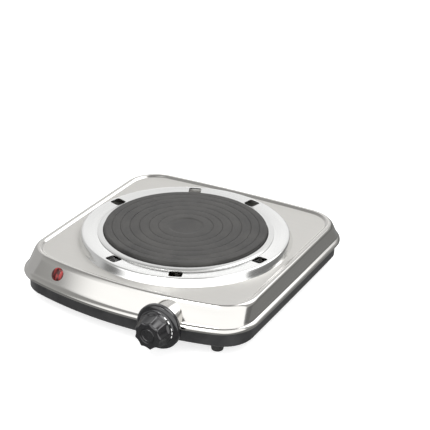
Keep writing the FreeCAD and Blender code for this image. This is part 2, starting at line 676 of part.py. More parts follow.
def make_push_pin():
    start_y = SPINDLE_END_Y + GAP
    return rod(PIN_R, (KNOB_X, start_y, KNOB_Z), ARM_Y - GAP - start_y, Y_AXIS)


def make_spindle():
    tip_y = KNOB_BACK_Y - 14.0
    shaft = rod(SPINDLE_R, (KNOB_X, tip_y, KNOB_Z), SPINDLE_END_Y - tip_y, Y_AXIS)
    flat = box(KNOB_X - 5, KNOB_X + 5, KNOB_BACK_Y - 15.0, KNOB_BACK_Y - 2.0, KNOB_Z + 1.8, KNOB_Z + 5)
    return shaft.cut(flat)


def make_knob():
    back = KNOB_BACK_Y
    front = KNOB_BACK_Y - KNOB_LEN
    nose = [(0, front + 0.8), (5.6, front + 0.8), (6.0, front + 0.1), (KNOB_NOSE_R - 1.8, front),
            (KNOB_NOSE_R - 0.5, front + 0.7), (KNOB_NOSE_R, front + 2.2), (KNOB_NOSE_R + 3.4, back - 6.2)]
    disc = [(KNOB_DISC_R - 2.2, back - 5.6), (KNOB_DISC_R - 0.6, back - 4.8), (KNOB_DISC_R, back - 3.4),
            (KNOB_DISC_R, back), (KNOB_DISC_R - 1.8, back), (KNOB_DISC_R - 1.8, back - 3.0)]
    hub = [(6.5, back - 3.0), (6.5, back), (0, back)]
    knob = revolve_y(nose + disc + hub, KNOB_X, KNOB_Z)
    for k in range(KNOB_RIDGES):
        angle = 2 * math.pi * k / KNOB_RIDGES
        lean = V(math.cos(angle), 0, math.sin(angle))
        start = V(KNOB_X, back - 5.4, KNOB_Z) + lean * (KNOB_NOSE_R + 3.0)
        end = V(KNOB_X, front + 1.6, KNOB_Z) + lean * (KNOB_NOSE_R - 0.1)
        ridge = Part.makeCylinder(KNOB_RIDGE_R, (end - start).Length, start, end - start)
        knob = knob.fuse(ridge).fuse(Part.makeSphere(KNOB_RIDGE_R, end))
    bore = rod(SPINDLE_R + 0.04, (KNOB_X, back - 14.5, KNOB_Z), 15.0, Y_AXIS)
    key = box(KNOB_X - 5, KNOB_X + 5, back - 14.5, back - 2.0, KNOB_Z + 2.4, KNOB_Z + 5)
    return knob.cut(bore.cut(key))


def make_knob_clip():
    """Leaf spring between the flat of the spindle and the knob's bore."""
    start_y = KNOB_BACK_Y - 13.0
    end_y = KNOB_BACK_Y - 3.0
    return box(KNOB_X - 1.5, KNOB_X + 1.5, start_y, end_y, KNOB_Z + 1.85, KNOB_Z + 2.35)


# ---------------------------------------------------------------- lamp
def lamp_piece(profile):
    """A turned piece on the lamp's axis from (radius, distance out from the skirt) points."""
    points = [V(r, 0, h) for r, h in profile]
    face = Part.Face(Part.makePolygon(points + points[:1]))
    solid = face.revolve(V(0, 0, 0), Z_AXIS, 360)
    solid.Placement = FreeCAD.Placement(V(LAMP_X, LAMP_Y, LAMP_Z), FreeCAD.Rotation(Z_AXIS, LAMP_IN * -1))
    return solid


def make_lamp_lens():
    rim_h = 1.4
    rise = 2.2
    slopes = [math.radians(15 * k) for k in range(6)]
    dome = [(LENS_R * math.cos(a), rim_h + rise * math.sin(a)) for a in slopes]
    return lamp_piece([(0, 0.6), (LENS_R - 0.4, 0.6), (LENS_R, 0.9)] + dome + [(0, rim_h + rise)])


def make_lamp_holder():
    seat_r = LENS_R - 0.7
    barrel_r = LAMP_HOLE_R - 0.1
    shell = [(0, 0.55), (seat_r, 0.55), (seat_r, 0.25), (barrel_r, 0.25), (barrel_r, -17.0), (3.6, -18.0)]
    cavity = [(0, -18.0), (0, -16.0), (3.2, -16.0), (3.2, -0.6), (0, -0.6)]
    return lamp_piece(shell + cavity)


def make_neon_bulb():
    glass_r = 2.6
    base = [(0, -14.5), (glass_r - 0.2, -14.5), (glass_r, -13.5)]
    return lamp_piece(base + [(glass_r, -4.0), (1.8, -2.6), (0, -2.0)])


def make_lamp_clip():
    inner_r = LAMP_HOLE_R - 0.05
    outer_r = LAMP_HOLE_R + 2.2
    return lamp_piece([(inner_r, -1.7), (outer_r, -2.3), (outer_r, -3.0), (inner_r, -2.4)])


# ---------------------------------------------------------------- mains side
def make_cord_gland():
    half_w = CASING_W / 2 - BASE_IN[1]
    wall_y = CASING_BACK_Y - BASE_IN[2] - BOW_BACK * (GLAND_X / half_w) ** 2
    inner_y = GLAND_END_Y - GLAND_LEN
    inner_face_y = wall_y - SHEET - WALL_CLEAR
    profile = [(CORD_R, inner_y), (5.6, inner_y), (6.3, inner_y + 0.8), (6.3, inner_face_y),
               (GLAND_NECK_R, inner_face_y), (GLAND_NECK_R, wall_y + WALL_CLEAR), (7.0, wall_y + WALL_CLEAR),
               (7.0, GLAND_END_Y - 2.2), (6.0, GLAND_END_Y), (CORD_R, GLAND_END_Y)]
    return revolve_y(profile, GLAND_X, GLAND_Z)


def make_terminal_block():
    block = box(BLOCK_X - 17, BLOCK_X + 17, BLOCK_Y - 8, BLOCK_Y + 8, FLOOR_Z, FLOOR_Z + 13)
    for k in (-1, 0, 1):
        x = BLOCK_X + BLOCK_PITCH * k
        for start_y in (BLOCK_Y - 9, BLOCK_Y + 2):
            block = block.cut(rod(1.9, (x, start_y, FLOOR_Z + BLOCK_BORE_Z), 7, Y_AXIS))
        for y in (BLOCK_Y - 5, BLOCK_Y + 5):
            block = block.cut(rod(2.05, (x, y, FLOOR_Z + 8), 6))
    return block.cut(rod(M4_TAP_R, (BLOCK_X, BLOCK_Y, FLOOR_Z - 1), 9))


def make_terminal_screws():
    screws = []
    for k in (-1, 0, 1):
        for y in (BLOCK_Y - 5, BLOCK_Y + 5):
            x = BLOCK_X + BLOCK_PITCH * k
            pin = rod(2.0, (x, y, FLOOR_Z + 8.2), 3.8)
            slot = box(x - 2.2, x + 2.2, y - 0.3, y + 0.3, FLOOR_Z + 11.4, FLOOR_Z + 13)
            screws.append(pin.cut(slot))
    return group(screws)


def make_block_screw():
    return screw(BLOCK_X, BLOCK_Y, BASE_Z, 7.5, M4_R, 3.4, 1.8)


def make_thermal_fuse():
    barrel = rod(2.0, (FUSE_X - 6, FUSE_Y, FUSE_Z), 12, X_AXIS)
    pins = rod(0.5, (FUSE_X - 13, FUSE_Y, FUSE_Z), 26, X_AXIS)
    return barrel.fuse(pins)


def make_fuse_clip():
    left = FUSE_X - 3
    right = FUSE_X + 3
    strap = tube(3.0, 2.05, (left, FUSE_Y, FUSE_Z), right - left, X_AXIS)
    foot = box(left, right, FUSE_Y - 1.0, FUSE_Y + 10, FLOOR_Z, FLOOR_Z + SHEET)
    stem = box(left, right, FUSE_Y - 1.0, FUSE_Y + 1.0, FLOOR_Z, FLOOR_Z + 1.8)
    return strap.fuse(foot).fuse(stem).cut(rod(M4_TAP_R, (FUSE_X, FUSE_Y + 6, FLOOR_Z - 1), 4))


def make_fuse_screw():
    return screw(FUSE_X, FUSE_Y + 6, BASE_Z, 5.0, M4_R, 3.4, 1.8)


def make_earth_screw():
    x, y = EARTH_POINT[0]
    return screw(x, y, BASE_Z, 9.0, M4_R, 3.4, 1.8)


def make_earth_nut():
    x, y = EARTH_POINT[0]
    return nut(M4_NUT, M4_TAP_R, (x, y, FLOOR_Z + 0.9), 3.0)


def make_earth_lug():
    x, y = EARTH_POINT[0]
    ring = tube(4.0, M4_TAP_R, (x, y, FLOOR_Z), 0.8)
    barrel = rod(1.7, (x - 10.5, y, FLOOR_Z + 1.7), 6.0, X_AXIS)
    neck = box(x - 7.0, x - 3.0, y - 1.5, y + 1.5, FLOOR_Z, FLOOR_Z + 0.8)
    return ring.fuse(barrel).fuse(neck)


# ---------------------------------------------------------------- leads, point to point
def make_leads():
    bore_z = FLOOR_Z + BLOCK_BORE_Z
    front_y = BLOCK_Y - 8.0
    near_tail, far_tail = tail_points()
    return {
        "supply_lead": lead([(BLOCK_X - BLOCK_PITCH, front_y, bore_z), (BLOCK_X - 14, 58, 15), (-93, 30, 14),
                             (-97, -20, 14), (-88, -66, 14), (-62, -95, 14), (-34, -104, 15.2),
                             (FUSE_X - 13.2, FUSE_Y, FUSE_Z)]),
        "fuse_lead": lead([(FUSE_X + 13.2, FUSE_Y, FUSE_Z), (14, -104.5, 15.6), (22, -102, 20),
                           (26.6, TAB_Y - 0.7, TAB_Z)]),
        "heater_lead": lead([(KNOB_X + 21.8, TAB_Y + 0.4, TAB_Z), (76, -94, 27.5), (75, -80, 28.5),
                             (58, -69, 28.6), (38, -62, 27.4), (far_tail[0], far_tail[1], 27.6)]),
        "neutral_lead": lead([(BLOCK_X + BLOCK_PITCH, front_y - 0.8, bore_z), (-60, 62, 26.6),
                              (-48, 44, 27.0), (-34, 18, 26.8), (-18, -14, 26.8), (2, -32, 26.8),
                              (near_tail[0], near_tail[1], 27.6)]),
        "earth_lead": lead([(BLOCK_X, BLOCK_Y + 7.5, bore_z), (-73, 95, 15.6), (-60, 95.5, 14.0),
                            (-47, 97, 12.8), (EARTH_POINT[0][0] - 11.3, EARTH_POINT[0][1], FLOOR_Z + 1.7)]),
    }


# ---------------------------------------------------------------- write every node
def make_parts():
    makers = {
        "top_casing": make_top_casing,
        "base_pan": make_base_pan,
        "rubber_feet": make_feet,
        "foot_screws": make_foot_screws,
        "foot_nuts": make_foot_nuts,
        "casing_posts": make_posts,
        "base_screws": make_base_screws,
        "burner_ring": make_burner_ring,
        "plate_rim": make_plate_rim,
        "hot_plate": make_hot_plate,
        "heating_element": lambda: element_tube(ELEMENT_TUBE_R),
        "ceramic_fill": make_ceramic_fill,
        "plate_cover": make_plate_cover,
        "ceramic_beads": make_ceramic_beads,
        "element_clamps": make_element_clamps,
        "cross_bar": make_cross_bar,
        "plate_stud": make_plate_stud,
        "plate_washer": make_plate_washer,
        "plate_nut": make_plate_nut,
        "heat_shield": make_heat_shield,
        "shield_spacers": make_shield_spacers,
        "shield_screws": make_shield_screws,
        "shield_nuts": make_shield_nuts,
        "thermostat_bracket": make_thermostat_bracket,
        "bracket_screws": make_bracket_screws,
        "spindle_bush": make_spindle_bush,
        "bush_nut": make_bush_nut,
        "thermostat_block": make_thermostat_block,
        "stack_spacers": make_stack_spacers,
        "stack_screw": make_stack_screw,
        "contact_arm": make_contact_arm,
        "fixed_contact": make_fixed_contact,
        "thermostat_tabs": make_thermostat_tabs,
        "push_pin": make_push_pin,
        "spindle": make_spindle,
        "knob": make_knob,
        "knob_clip": make_knob_clip,
        "lamp_lens": make_lamp_lens,
        "lamp_holder": make_lamp_holder,
        "neon_bulb": make_neon_bulb,
        "lamp_clip": make_lamp_clip,
        "cord_gland": make_cord_gland,
        "terminal_block": make_terminal_block,
        "terminal_screws": make_terminal_screws,
        "block_screw": make_block_screw,
        "thermal_fuse": make_thermal_fuse,
        "fuse_clip": make_fuse_clip,
        "fuse_screw": make_fuse_screw,
        "earth_screw": make_earth_screw,
        "earth_nut": make_earth_nut,
        "earth_lug": make_earth_lug,
    }
    for name, maker in makers.items():
        parts[name] = maker()
    parts.update(make_leads())


os.makedirs("parts", exist_ok=True)
make_parts()
for name, shape in parts.items():
    shape.translate(V(0, CASING_Y, 0))
    shape.exportStep("parts/%s.step" % name)
    bounds = shape.BoundBox
    print("%-20s solids %d valid %s volume %9.1f  x %.1f..%.1f y %.1f..%.1f z %.1f..%.1f" % (
        name, len(shape.Solids), shape.isValid(), shape.Volume, bounds.XMin, bounds.XMax,
        bounds.YMin, bounds.YMax, bounds.ZMin, bounds.ZMax))
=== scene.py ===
import json
import math

import bmesh
import bpy
from mathutils import Matrix, Vector


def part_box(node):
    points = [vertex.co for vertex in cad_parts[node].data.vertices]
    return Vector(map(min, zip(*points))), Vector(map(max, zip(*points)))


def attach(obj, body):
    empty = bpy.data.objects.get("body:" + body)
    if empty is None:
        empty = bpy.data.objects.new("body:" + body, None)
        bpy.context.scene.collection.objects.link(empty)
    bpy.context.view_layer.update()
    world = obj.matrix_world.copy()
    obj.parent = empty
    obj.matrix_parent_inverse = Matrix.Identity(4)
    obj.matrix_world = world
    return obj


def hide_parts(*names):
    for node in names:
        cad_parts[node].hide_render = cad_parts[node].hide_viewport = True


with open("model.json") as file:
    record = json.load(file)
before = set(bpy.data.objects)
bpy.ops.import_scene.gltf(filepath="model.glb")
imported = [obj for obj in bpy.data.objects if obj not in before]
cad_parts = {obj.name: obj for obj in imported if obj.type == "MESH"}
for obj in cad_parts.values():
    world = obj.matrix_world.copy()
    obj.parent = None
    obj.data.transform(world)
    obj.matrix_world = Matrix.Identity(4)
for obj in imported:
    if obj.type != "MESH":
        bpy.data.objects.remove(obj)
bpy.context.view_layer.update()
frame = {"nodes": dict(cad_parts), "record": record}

# The looks of an electric hot plate: camera, studio, materials, and the detailed pieces that stand
# for some of the CAD nodes. Lengths are in metres; a value written with MM is in millimetres.
MM = 0.001


def middle(node):
    low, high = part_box(node)
    return (low + high) / 2


# ---------------------------------------------------------------- places and sizes from the frame
CENTRE = middle("hot_plate")
CASING_LOW, CASING_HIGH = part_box("top_casing")
HALF_W = CASING_HIGH.x
RING_LOW, RING_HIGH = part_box("burner_ring")
KNOB_MID = middle("knob")
LAMP_MID = middle("lamp_lens")

# ---------------------------------------------------------------- sizes of the pressed casing
SHEET = 0.8 * MM
DECK_Z = 44.6 * MM
DECK_HOLE_INSET = 6.0 * MM          # how far the deck runs in under the ring
BOW_FRONT = 21.4 * MM
BOW_LOSS = 0.3                      # bow that the front loses per unit of inset from the lip
BOW_SIDE = 0.5 * MM
BOW_BACK = 4.2 * MM
# From the deck outwards, over the bead, down the skirt and round the lip, in millimetres:
# height, then how far in from the lip at the front, at the sides and at the back, and the corner radius.
CASING_STATIONS = [
    (44.6, 24.4, 15.0, 19.7, 24.5),
    (44.6, 22.9, 13.5, 18.2, 26.0),
    (45.9, 21.2, 11.8, 16.5, 27.7),
    (46.4, 20.2, 10.8, 15.5, 28.7),
    (46.4, 18.4, 9.0, 13.7, 30.5),
    (46.0, 17.2, 7.8, 12.5, 31.7),
    (44.9, 15.9, 6.5, 11.2, 33.0),
    (43.5, 14.4, 5.7, 10.0, 33.2),
    (30.4, 4.1, 4.1, 4.1, 29.0),
    (29.5, 1.9, 1.9, 1.9, 34.0),
    (28.0, 0.2, 0.2, 0.2, 37.6),
    (26.3, 0.0, 0.0, 0.0, 38.0),
    (25.4, 0.7, 0.7, 0.7, 37.3),
]
SIDE_STEPS = 44
CORNER_STEPS = 18

BOSS_R = 16.0 * MM
BOSS_FACE_Y = CENTRE.y - 129.4 * MM
BOSS_DEPTH = 24.0 * MM
BOSS_EDGE_R = 1.6 * MM
BOSS_ARCH_STEPS = 32
SHAFT_HOLE_R = 6.0 * MM
SHAFT_CUT = 12.0 * MM               # length of the tool that cuts the spindle's hole
CUT_PAST = 5.0 * MM                 # how far a cutting tool reaches past what it cuts
LENS_R = 6.2 * MM
LAMP_HOLE_R = LENS_R - 1.1 * MM
LAMP_HOLE_REACH = (-12.0 * MM, 8.0 * MM)    # along the lamp's axis, from the middle of the lens
LAMP_TILT = math.radians(36.9)
LAMP_YAW = math.radians(10.8)

# ---------------------------------------------------------------- sizes of the turned pieces
# (radius, height) in millimetres, from the outside of the foot over the top and down the bore.
RING_PROFILE = [(101.8, 44.6), (101.2, 45.8), (99.3, 50.4), (98.6, 51.5), (97.4, 52.0), (86.0, 51.3),
                (80.8, 50.9), (79.6, 50.0), (79.6, 45.2)]
RING_SHEET = 1.0 * MM
SLOT_ANGLES = (-17.7, 23.1, 77.0, 162.3, 203.1, 257.0)    # degrees from the front towards +X
SLOT_MID_R = 89.95 * MM
SLOT_LENGTH = 10.9 * MM
SLOT_WIDTH = 12.4 * MM
SLOT_CORNER_R = 2.2 * MM
SLOT_CUT = (46.5 * MM, 54.0 * MM)   # heights between which a slot is cut
RING_STEPS = 240
RIM_STEPS = 200
PLATE_STEPS = 180
WELD = 0.002 * MM                   # points closer than this are one point
RIM_PROFILE = [(77.6, 47.8), (77.6, 52.4), (78.9, 53.0), (81.2, 52.5), (83.8, 51.7), (83.8, 51.3),
               (83.4, 51.2), (81.2, 51.9), (78.9, 52.4), (78.3, 52.2), (78.3, 47.8)]
# The plate and its grooves, in millimetres. The profile's end runs from the top edge to the stud's bore.
PLATE_TOP = 56.0
PLATE_PROFILE_END = [(76.1, 56.0), (77.1, 55.6), (77.5, 54.6), (77.5, 45.9), (76.0, 44.4), (72.0, 44.4),
                     (72.0, 49.4), (22.0, 49.4), (22.0, 44.4), (9.0, 44.4), (9.0, 41.4), (3.05, 41.4),
                     (3.05, 48.9), (0.3, 48.9)]
GROOVES = (26.0, 35.0, 44.0, 53.0, 62.0, 70.0)
GROOVE_HALF_W = 0.28
GROOVE_FLOOR_HALF_W = 0.08
GROOVE_DEPTH = 0.35
DISH_R = 15.6
DISH_EDGE_R = 17.4
DISH_TOP = PLATE_TOP - 0.5
MIDDLE_R = 0.3                      # where a turned profile stops and one flat face closes it

# ---------------------------------------------------------------- sizes of the lens
LENS_RIBS = 24
STEPS_PER_RIB = 6
LENS_SUNK = 2.1 * MM                # how far the lens starts behind the middle of its node
# (radius, height, how deep the ribs are), in millimetres, from the back over the rim to the dome.
LENS_STATIONS = [(MIDDLE_R, 0.6, 0.0), (5.7, 0.6, 0.0), (6.2, 0.9, 0.0), (6.2, 1.4, 0.0), (5.9, 1.95, 0.10),
                 (5.2, 2.6, 0.16), (4.2, 3.05, 0.10), (2.6, 3.42, 0.0), (MIDDLE_R, 3.6, 0.0)]

# ---------------------------------------------------------------- sizes of the knob
KNOB_BACK_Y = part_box("knob")[1].y
RIDGES = 9
STEPS_PER_RIDGE = 20
RIDGE_SOFT = 0.1                    # how blunt a ridge is, as a share of half the step between ridges
# (height above the knob's back, radius, how deep the flutes between the ridges are), in millimetres, from the
# spindle's bore over the back, the skirt, the collar and the grip to the button on the nose.
KNOB_STATIONS = [
    (14.5, 0.3, 0.0), (14.5, 3.04, 0.0), (0.0, 3.04, 0.0), (0.0, 6.5, 0.0), (3.0, 6.5, 0.0), (3.0, 19.2, 0.0),
    (0.0, 19.2, 0.0), (0.0, 21.0, 0.0), (3.4, 21.0, 0.0), (4.8, 20.4, 0.0), (5.6, 18.8, 0.0),
    (6.0, 16.9, 0.0), (6.9, 16.1, 0.0), (9.6, 15.5, 0.0), (10.2, 15.5, 0.5), (11.2, 15.3, 1.5),
    (19.6, 13.6, 1.9), (20.8, 13.3, 1.7), (21.6, 12.2, 1.1), (21.95, 10.6, 0.3), (21.9, 7.2, 0.0),
    (21.3, 6.9, 0.0), (21.3, 6.5, 0.0), (21.8, 6.2, 0.0), (21.8, 4.9, 0.0), (21.2, 4.6, 0.0),
    (21.2, 0.3, 0.0),
]
# Dial strokes on the collar: middle and half span in degrees from the right hand side, then thickness in
# millimetres.
DIAL_MARKS = [(54, 5.0, 1.1), (38, 5.0, 1.1), (13, 4.0, 0.8), (0, 4.0, 0.8), (-13, 4.0, 0.8)]
COLLAR_LOW = 6.9
COLLAR_R = 16.1
COLLAR_TAPER = 0.222                # radius lost for each millimetre of height
MARK_LOW = 7.05
MARK_PROUD = 0.14
MARK_SUNK = 0.1
MARK_STEPS = 8

# ---------------------------------------------------------------- camera
CAMERA_AZIMUTH = math.radians(27.06)
CAMERA_ELEVATION = math.radians(25.59)
CAMERA_ROLL = math.radians(1.7)
CAMERA_DISTANCE = 1.317
CAMERA_TARGET = Vector((-0.0117, 0.0958, 0.030))    # behind the middle, so the object sits low in the picture
CAMERA_LENS = 109.0


def make_camera():
    """Looks from the front right, above the deck."""
    back = Vector((math.sin(CAMERA_AZIMUTH) * math.cos(CAMERA_ELEVATION),
                   -math.cos(CAMERA_AZIMUTH) * math.cos(CAMERA_ELEVATION), math.sin(CAMERA_ELEVATION)))
    camera = bpy.data.objects.new("camera", bpy.data.cameras.new("camera"))
    camera.data.lens = CAMERA_LENS
    camera.data.sensor_width = 36.0
    turn = back.to_track_quat("Z", "Y").to_matrix() @ Matrix.Rotation(CAMERA_ROLL, 3, "Z")
    camera.matrix_world = Matrix.Translation(CAMERA_TARGET + back * CAMERA_DISTANCE) @ turn.to_4x4()
    bpy.context.scene.collection.objects.link(camera)
    bpy.context.scene.camera = camera


# ---------------------------------------------------------------- studio
# Soft windows of the room: degrees to the right of the front, degrees up, how many degrees from its middle
# each begins to fade and ends, and its brightness.
WINDOWS = [
    (4.0, 36.0, 36.0, 56.0, 1.58),
    (48.0, 26.0, 44.0, 49.0, 1.58),
    (-153.0, 28.0, 20.0, 44.0, 0.86),
    (-153.0, 14.0, 5.0, 12.0, 1.7),
    (-100.0, 4.0, 30.0, 48.0, 0.56),
    (150.0, 50.0, 15.0, 28.0, 2.8),
]
# The sky behind them from straight down (0) over the horizon (0.5) to straight up (1): place, brightness.
SKY = [(0.0, 0.26), (0.46, 0.27), (0.50, 0.20), (0.57, 0.20), (0.66, 0.42), (0.76, 0.52), (0.88, 0.42),
       (1.0, 0.36)]
SKY_WARMTH = 0.985                  # blue as a share of red and green
FLOOR_HALF = 12.0


def make_world():
    """A dim room below the horizon, a soft sky above it, and the windows."""
    world = bpy.data.worlds.new("studio")
    world.use_nodes = True
    bpy.context.scene.world = world
    tree = world.node_tree
    coords = tree.nodes.new("ShaderNodeTexCoord")
    split = tree.nodes.new("ShaderNodeSeparateXYZ")
    ramp = tree.nodes.new("ShaderNodeValToRGB")
    remap = tree.nodes.new("ShaderNodeMapRange")
    remap.inputs["From Min"].default_value = -1.0
    ramp.color_ramp.elements.remove(ramp.color_ramp.elements[0])
    for k, (place, level) in enumerate(SKY):
        stop = ramp.color_ramp.elements[0] if k == 0 else ramp.color_ramp.elements.new(place)
        stop.position = place
        stop.color = (level, level, level * SKY_WARMTH, 1.0)
    tree.links.new(coords.outputs["Generated"], split.inputs["Vector"])
    tree.links.new(split.outputs["Z"], remap.inputs["Value"])
    tree.links.new(remap.outputs["Result"], ramp.inputs["Fac"])
    total = ramp.outputs["Color"]
    for heading, lift, full, end, brightness in WINDOWS:
        h = math.radians(heading)
        e = math.radians(lift)
        near = tree.nodes.new("ShaderNodeVectorMath")
        near.operation = "DOT_PRODUCT"
        near.inputs[1].default_value = (math.sin(h) * math.cos(e), -math.cos(h) * math.cos(e), math.sin(e))
        tree.links.new(coords.outputs["Generated"], near.inputs[0])
        fade = tree.nodes.new("ShaderNodeMapRange")
        fade.interpolation_type = "SMOOTHSTEP"
        fade.inputs["From Min"].default_value = math.cos(math.radians(end))
        fade.inputs["From Max"].default_value = math.cos(math.radians(full))
        fade.inputs["To Max"].default_value = brightness
        tree.links.new(near.outputs["Value"], fade.inputs["Value"])
        brighter = tree.nodes.new("ShaderNodeVectorMath")
        brighter.operation = "MAXIMUM"
        tree.links.new(total, brighter.inputs[0])
        tree.links.new(fade.outputs["Result"], brighter.inputs[1])
        total = brighter.outputs["Vector"]
    tree.links.new(total, tree.nodes["Background"].inputs["Color"])


def area_light(name, direction, distance, size, power, in_reflections=True):
    """A soft panel of size (width, height) that faces the object from direction."""
    data = bpy.data.lights.new(name, "AREA")
    data.shape = "RECTANGLE"
    data.size, data.size_y = size
    data.energy = power
    light = bpy.data.objects.new(name, data)
    out = Vector(direction).normalized()
    light.matrix_world = (Matrix.Translation(CENTRE + out * distance)
                          @ out.to_track_quat("Z", "Y").to_matrix().to_4x4())
    light.visible_glossy = in_reflections
    bpy.context.scene.collection.objects.link(light)


def make_floor():
    """A pale floor that lights a little of its own, so that it stays white."""
    mesh = bpy.data.meshes.new("floor")
    corners = [(-FLOOR_HALF, -FLOOR_HALF, 0), (FLOOR_HALF, -FLOOR_HALF, 0),
               (FLOOR_HALF, FLOOR_HALF, 0), (-FLOOR_HALF, FLOOR_HALF, 0)]
    mesh.from_pydata(corners, [], [(0, 1, 2, 3)])
    floor = bpy.data.objects.new("floor", mesh)
    bpy.context.scene.collection.objects.link(floor)
    look = Look("floor_white", (0.6, 0.6, 0.6), roughness=0.9, Emission_Color=(1.0, 1.0, 1.0, 1.0),
                Emission_Strength=0.72)
    floor.data.materials.append(look.material)
    floor.visible_glossy = False


def make_studio():
    scene = bpy.context.scene
    scene.view_settings.view_transform = "Standard"
    make_world()
    make_floor()
    area_light("key", (-0.08, -0.46, 0.88), 1.3, (0.4, 0.25), 2.2)
    area_light("top", (0.0, 0.05, 1.0), 1.4, (1.6, 1.6), 13.0, False)


# ---------------------------------------------------------------- a material and its nodes
class Look:
    """A new material with a Principled shader, and short calls for the nodes behind it."""

    def __init__(self, name, colour, metallic=0.0, roughness=0.5, **sockets):
        self.material = bpy.data.materials.new(name)
        self.material.use_nodes = True
        self.tree = self.material.node_tree
        self.shader = self.tree.nodes["Principled BSDF"]
        self.last_normal = None
        self.shader.inputs["Base Color"].default_value = (*colour, 1.0)
        self.shader.inputs["Metallic"].default_value = metallic
        self.shader.inputs["Roughness"].default_value = roughness
        for socket, value in sockets.items():
            self.shader.inputs[socket.replace("_", " ")].default_value = value

    def node(self, kind, **inputs):
        made = self.tree.nodes.new("ShaderNode" + kind)
        for name, value in inputs.items():
            socket = made.inputs[name.replace("_", " ")]
            if isinstance(value, bpy.types.NodeSocket):
                self.tree.links.new(value, socket)
            else:
                socket.default_value = value
        return made

    def place(self, stretch=(1.0, 1.0, 1.0), source="Object", centre=(0.0, 0.0, 0.0)):
        coords = self.node("TexCoord").outputs[source]
        moved = self.node("VectorMath")
        moved.operation = "SUBTRACT"
        moved.inputs[1].default_value = centre
        self.tree.links.new(coords, moved.inputs[0])
        return self.node("Mapping", Vector=moved.outputs[0], Scale=stretch).outputs["Vector"]

    def noise(self, scale, detail=3.0, place=None, distortion=0.0):
        made = self.node("TexNoise", Scale=scale, Detail=detail, Distortion=distortion,
                         Vector=place or self.place())
        return made.outputs["Fac"]

    def math(self, operation, first, second=0.0):
        made = self.tree.nodes.new("ShaderNodeMath")
        made.operation = operation
        for socket, value in zip(made.inputs, (first, second)):
            if isinstance(value, bpy.types.NodeSocket):
                self.tree.links.new(value, socket)
            else:
                socket.default_value = value
        return made.outputs[0]

    def remap(self, value, low, high, new_low, new_high):
        made = self.node("MapRange", Value=value, From_Min=low, From_Max=high,
                         To_Min=new_low, To_Max=new_high)
        return made.outputs["Result"]

    def shade(self, fac, dark, light, low=0.35, high=0.65):
        """The colour runs from dark to light as fac goes from low to high."""
        ramp = self.node("ValToRGB", Fac=fac)
        for stop, place, colour in zip(ramp.color_ramp.elements, (low, high), (dark, light)):
            stop.position = place
            stop.color = (*colour, 1.0)
        self.tree.links.new(ramp.outputs["Color"], self.shader.inputs["Base Color"])

    def rough(self, fac, low, high):
        self.tree.links.new(self.remap(fac, 0.3, 0.7, low, high), self.shader.inputs["Roughness"])

    def bump(self, height, depth, strength=1.0):
        made = self.node("Bump", Height=height, Distance=depth, Strength=strength)
        if self.last_normal is not None:
            self.tree.links.new(self.last_normal, made.inputs["Normal"])
        self.last_normal = made.outputs["Normal"]
        self.tree.links.new(self.last_normal, self.shader.inputs["Normal"])

    def tangent(self):
        made = self.tree.nodes.new("ShaderNodeTangent")
        made.direction_type = "UV_MAP"
        self.tree.links.new(made.outputs["Tangent"], self.shader.inputs["Tangent"])


# ---------------------------------------------------------------- materials
def brushed_sheet(name, colour, roughness, anisotropy, grain_depth, level_roughness):
    """Brushed stainless sheet, duller where it lies level. The grain runs along U of the piece's own map."""
    look = Look(name, colour, metallic=1.0, roughness=roughness, Anisotropic=anisotropy)
    look.tangent()
    streaks = look.noise(1.0, 2.0, look.place((14.0, 1900.0, 1.0), "UV"))
    bands = look.noise(1.0, 2.0, look.place((3.0, 260.0, 1.0), "UV"))
    smudge = look.noise(22.0, 4.0, distortion=0.6)
    fine = look.math("ADD", look.math("MULTIPLY", streaks, 0.6), look.math("MULTIPLY", bands, 0.4))
    look.shade(fine, [c * 0.965 for c in colour], [min(1.0, c * 1.02) for c in colour])
    wear = look.math("ADD", look.math("MULTIPLY", fine, 0.7), look.math("MULTIPLY", smudge, 0.3))
    tilt = look.tree.nodes.new("ShaderNodeSeparateXYZ")
    look.tree.links.new(look.node("NewGeometry").outputs["Normal"], tilt.inputs["Vector"])
    level = look.remap(tilt.outputs["Z"], 0.985, 0.999, roughness, level_roughness)
    spread = look.remap(wear, 0.3, 0.7, 0.88, 1.14)
    look.tree.links.new(look.math("MULTIPLY", level, spread), look.shader.inputs["Roughness"])
    look.bump(streaks, grain_depth)
    return look.material


def casing_steel():
    return brushed_sheet("casing_steel", (0.64, 0.629, 0.606), 0.11, 0.3, 0.004 * MM, 0.58)


def ring_steel():
    return brushed_sheet("ring_steel", (0.86, 0.86, 0.85), 0.15, 0.5, 0.003 * MM, 0.20)


def radius_from_centre(look):
    flat = look.place((1.0, 1.0, 0.0), centre=CENTRE)
    length = look.tree.nodes.new("ShaderNodeVectorMath")
    length.operation = "LENGTH"
    look.tree.links.new(flat, length.inputs[0])
    return length.outputs["Value"]


def cast_iron():
    """Sand cast iron, turned on its top face and blackened."""
    look = Look("cast_iron", (0.045, 0.044, 0.043), metallic=0.35, roughness=0.5)
    radius = radius_from_centre(look)
    turning = look.math("SINE", look.math("MULTIPLY", radius, 2 * math.pi / (0.55 * MM)))
    grain = look.noise(900.0, 4.0)
    blotch = look.noise(34.0, 4.0, distortion=0.8)
    look.shade(blotch, (0.030, 0.029, 0.028), (0.062, 0.060, 0.057), 0.3, 0.7)
    wear = look.math("ADD", look.math("MULTIPLY", blotch, 0.6), look.math("MULTIPLY", grain, 0.4))
    look.rough(wear, 0.40, 0.62)
    look.bump(turning, 0.012 * MM)
    look.bump(grain, 0.05 * MM)
    return look.material


